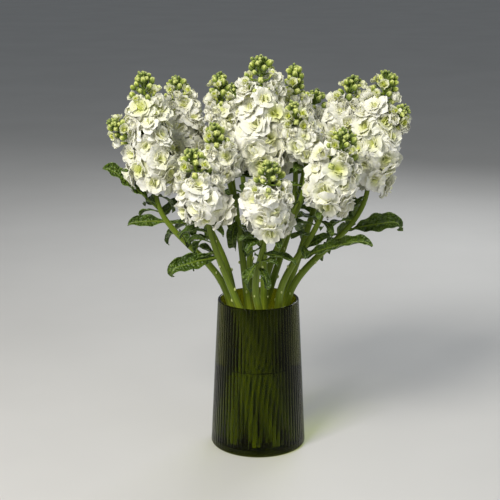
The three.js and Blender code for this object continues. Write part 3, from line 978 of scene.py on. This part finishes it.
def floret_seats(spike, draw):
    """The open florets of a spike: (face centre, direction, radius, place on the stalk) for each."""
    radius = max(spike.radius * fullness, slimmest_head) * mm
    largest = max(floret_share * radius, least_floret)
    count = round(floret_density * radius * spike.open_length / largest**2)
    seats = []
    for place in range(count):
        share = (place + 0.5) / count
        jitter = drawn_from(seat_jitter, draw)
        size = largest * between(floret_sizes, share) * jitter.size
        rise = math.radians(between(floret_rises, share**1.3) + jitter.rise)
        out = radius * bulge(share) * jitter.out
        along = spike.open_length * between(floret_zone, share)
        turn = place * golden_angle + jitter.turn
        centre, direction = in_spike(spike, turn, out, along, rise)
        direction = Matrix.Rotation(jitter.swing, 3, spike.axis) @ direction
        if not in_shoot(spike, centre):
            joint = spike.foot + spike.axis * max(along - joint_drop * out, 0)
            seats.append((centre, direction, size, joint))
    return seats


# The buds: at each tip a knot of small green buds on short stalks, the youngest in the middle. Below them
# come fatter yellow-green ones, and then white flowers that are still closed. Each flower sits in a green
# tube of its own, its calyx, on a stalk.
bud_length = 9.4 * mm
bud_radius = 4.1 * mm
bud_swell = (1.08, 0.86)  # at the foot and at the tip
sepals = 4
seam_dent = 0.16
seam_green = 0.25
calyx_foot = 0.12  # radii, for a flower of unit radius
calyx_mouth = 0.24
calyx_lap = 0.05  # how far into its calyx a flower or a stalk reaches
knot_share = 0.38  # a knot's spread, as a share of its spike's radius
buds_per_mm = 1.8  # of the knot's spread
knot_sizes = (0.76, 0.48)  # the lowest and the topmost bud's
knot_climbs = (0.50, 1)  # their tips' heights, as shares of the knot's
knot_roots = (-0.15, 0.40)  # and those of their stalks' roots
knot_greens = (0.15, 1.25)
lowest_lean = 66
bud_stalk = (0.9 * mm, 0.8 * mm, 0.8 * mm, mm)  # radii from the root up
flower_stalk = (mm, 0.9 * mm, mm, mm)
stalk_bow = 0.8 * mm
thin_sides = 6
knot_jitter = {
    "size": (0.66, 1.2),
    "lean": (-18, 18),
    "out": (0.6, 1.25),
    "turn": (-0.7, 0.7),
    "climb": (-0.14, 0.08),
    "spin": (0, math.tau),
    "green": (-0.3, 0.3),
}
crown_pitch = 1.7 * mm
crown_most = 0.4  # a crown's largest share of the open length
crown_into_knot = 0.7  # how far up beside the knot it reaches
crown_outs = (0.66, 0.28)  # at its foot and its top, as shares of the spike's radius
crown_turn = 1.0  # radians
crown_drop = 8 * mm  # from a flower to where its stalk starts
closed_from = 0.7  # ripeness
young_from = 0.25
crown_jitter = {"out": (0.85, 1.1), "rise": (25, 70), "ripeness": (-0.25, 0.25)}
closed_sizes = (6.6 * mm, 8.8 * mm)
young_sizes = (6.0 * mm, 8.5 * mm)
fat_sizes = (0.8, 1.15)  # of the buds in the crown
closed_calyx = 1.3  # length, as a share of the flower's size
young_calyx = 1.1
closed_green = 0.4
young_greens = (0.8, 1.2)
fat_greens = (0, 0.6)
calyx_green = 0.1

bm = blank()
tip_share = bm.verts.layers.float.new("tip")
bmesh.ops.create_uvsphere(bm, u_segments=12, v_segments=7, radius=1, calc_uvs=True)
for vertex in bm.verts:
    height = (vertex.co.z + 1) / 2
    turn = math.atan2(vertex.co.y, vertex.co.x)
    seam = max(math.cos(sepals * turn), 0)
    swell = bud_radius * (1 - seam_dent * seam) * between(bud_swell, height)
    vertex[tip_share] = height - seam_green * seam
    vertex.co = (vertex.co.x * swell, vertex.co.y * swell, height * bud_length)
bud = mesh_of("bud", bm)

bm = blank()
tip_share = bm.verts.layers.float.new("tip")
bmesh.ops.create_cone(
    bm, cap_ends=True, segments=10, radius1=calyx_foot, radius2=calyx_mouth, depth=1, calc_uvs=True
)
bmesh.ops.translate(bm, vec=(0, 0, -0.5), verts=bm.verts[:])
upward = [edge for edge in bm.edges if abs(edge.verts[0].co.z - edge.verts[1].co.z) > 0.5]
bmesh.ops.subdivide_edges(bm, edges=upward, cuts=2)
for vertex in bm.verts:
    vertex[tip_share] = vertex.co.z + 1
calyx = mesh_of("calyx", bm)

bud_skin = new_material("bud_skin", {"Roughness": 0.6, "Specular IOR Level": 0.35, "Sheen Weight": 0.15})
bud_tip = add_node(bud_skin, "Attribute", {}, attribute_name="tip").outputs["Fac"]
bud_age = add_node(bud_skin, "Attribute", {}, attribute_name="green").outputs["Fac"]
bud_spots = speckle(bud_skin, scale=420.0, detail=3.0)
ripe = graded(
    bud_skin, bud_tip, [(0.15, (0.14, 0.21, 0.02)), (0.6, (0.34, 0.42, 0.04)), (0.85, (0.82, 0.86, 0.30))]
)
young = graded(
    bud_skin, bud_tip, [(0.15, (0.08, 0.13, 0.02)), (0.6, (0.19, 0.26, 0.05)), (0.9, (0.50, 0.56, 0.17))]
)
bud_green = blend(bud_skin, bud_age, ripe, young)
down = graded(bud_skin, bud_spots, [(0.3, (0.86, 0.86, 0.86)), (0.7, (1.12, 1.12, 1.12))])
feed(bud_skin, "Base Color", blend(bud_skin, 1.0, bud_green, down, "MULTIPLY"))
relief(bud_skin, bud_spots, strength=0.3, distance=0.3 * mm)


def bud_knot(bm, foot, top, spread, draw):
    """The knot of buds at a tip, in turn round it, from the lowest and widest to the one on top."""
    axis = (top - foot).normalized()
    height = (top - foot).length
    frame_turn = upright.rotation_difference(axis).to_matrix()
    count = round(buds_per_mm * spread / mm)
    for place in range(count):
        share = place / (count - 1)
        jitter = drawn_from(knot_jitter, draw)
        size = between(knot_sizes, share) * jitter.size
        lean = math.radians(lowest_lean * (1 - share) ** 0.8 + jitter.lean)
        out = spread * (1 - share) ** 0.5 * jitter.out
        turn = place * golden_angle + jitter.turn
        side = frame_turn @ Matrix.Rotation(turn, 3, "Z") @ Vector((1, 0, 0))
        direction = axis * math.cos(lean) + side * math.sin(lean)
        climb = min(between(knot_climbs, share**0.5) + jitter.climb, 1)
        end = foot + axis * height * climb + side * out
        seat = end - direction * bud_length * size
        root = foot + axis * height * between(knot_roots, share)
        middle = root.lerp(seat, 0.5) + (side - axis) * stalk_bow
        rounded(bm, [root, middle, seat, seat + direction * mm], bud_stalk, thin_sides)
        green = min(between(knot_greens, share) + jitter.green, 1)
        stamp(bm, bud, facing(seat, direction, jitter.spin, size), green=green)


def stalked(bm, root, neck, end):
    """The short green stalk from the spike to a bud or flower."""
    rounded(bm, [root, root.lerp(neck, 0.6), neck, end], flower_stalk, thin_sides)


def shut_flower(greenery, flowers, shape, seat, size, tube, green):
    """A flower that isn't fully open, in its calyx. Returns the end of its stalk."""
    centre, direction, turn = seat
    stamp(flowers, shape, facing(centre, direction, turn, size), green=green)
    stamp(greenery, calyx, facing(centre, direction, turn, size * tube), green=calyx_green)
    return centre - direction * size * (tube - calyx_lap)


def crown(greenery, flowers, spike, radius, draw):
    """What stands between the open flowers and the knot: closed flowers, young ones and fat buds."""
    low = spike.open_length - min(spike.crown * mm, crown_most * spike.open_length)
    high = spike.open_length + spike.bare * mm + crown_into_knot * cluster_height
    count = round((high - low) / crown_pitch)
    for place in range(count):
        share = place / count
        jitter = drawn_from(crown_jitter, draw)
        turn = place * golden_angle + crown_turn
        out = radius * between(crown_outs, share) * jitter.out
        along = between((low, high), share)
        centre, direction = in_spike(spike, turn, out, along, math.radians(jitter.rise))
        seat = (centre, direction, turn)
        ripeness = 1 - share + jitter.ripeness
        if ripeness > closed_from:
            shape = closed_florets[place % len(closed_florets)]
            size = draw.uniform(*closed_sizes)
            green = closed_green * share
            neck = shut_flower(greenery, flowers, shape, seat, size, closed_calyx, green)
        elif ripeness > young_from and place % 2:
            shape = young_florets[place % len(young_florets)]
            size = draw.uniform(*young_sizes)
            green = draw.uniform(*young_greens)
            neck = shut_flower(greenery, flowers, shape, seat, size, young_calyx, green)
        else:
            size = draw.uniform(*fat_sizes)
            green = draw.uniform(*fat_greens)
            neck = centre - direction * bud_length * size / 2
            stamp(greenery, bud, facing(neck, direction, turn, size), green=green)
        stalked(greenery, spike.foot + spike.axis * (along - crown_drop), neck, neck + direction * mm)


# The spikes: white flowers open from below, each on a short stalk from the spike's axis, and the crown and
# the knot of buds stand above them. The petals are the head's, and all that is green belongs to the stem.
shoot_radius = 22  # millimetres
shoot_share = 0.62  # how far down from its tip a shoot's flowers start, of its length
shoot_knot_share = 0.5
floret_depth = 0.32  # from a floret's face to its heart, as a share of its radius
neck_depth = 0.5  # from there to its stalk's bend
open_calyx = 0.75
greenest = 0.8
rarity = 5  # the higher it is, the fewer florets are greenish
spikes = [(spike, number) for number, stem in enumerate(stems, 1) for spike in stem.spikes]
for bloom_number, (spike, stem_number) in enumerate(spikes, 1):
    draw = random.Random(400 + bloom_number)
    radius = spike.radius * mm
    greenery = blank()
    flowers = blank()
    for bm, layer in ((greenery, "tip"), (flowers, "reach")):
        bm.verts.layers.float.new("green")
        bm.verts.layers.float.new(layer)

    bud_knot(greenery, spike.cluster, spike.top, radius * knot_share, draw)
    crown(greenery, flowers, spike, radius, draw)
    for share, tip in spike.shoots:
        shoot_foot = Vector(tip).lerp(spike.foot.lerp(spike.top, share) / mm, shoot_share)
        shoot = Spike(tuple(shoot_foot), tip, shoot_radius)
        bud_knot(greenery, shoot.cluster, shoot.top, shoot_radius * mm * shoot_knot_share, draw)
        crown(greenery, flowers, shoot, shoot_radius * mm, draw)

    for place, (centre, direction, size, joint) in enumerate(floret_seats(spike, draw)):
        root = centre - direction * size * floret_depth
        spin = draw.random() * math.tau
        shape = open_florets[place % len(open_florets)]
        stamp(flowers, shape, facing(root, direction, spin, size), green=greenest * draw.random() ** rarity)
        sleeve = facing(root + direction * size * calyx_lap, direction, size=size * open_calyx)
        stamp(greenery, calyx, sleeve, green=0)
        stalked(greenery, joint, root - direction * size * neck_depth, root)

    buds = finished(f"buds_{bloom_number:02d}", greenery, bud_skin)
    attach(buds, "root")
    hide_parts(f"stem_{stem_number:02d}")
    head = finished(f"florets_{bloom_number:02d}", flowers, petal_skin)
    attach(head, "root")
    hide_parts(f"bloom_{bloom_number:02d}")
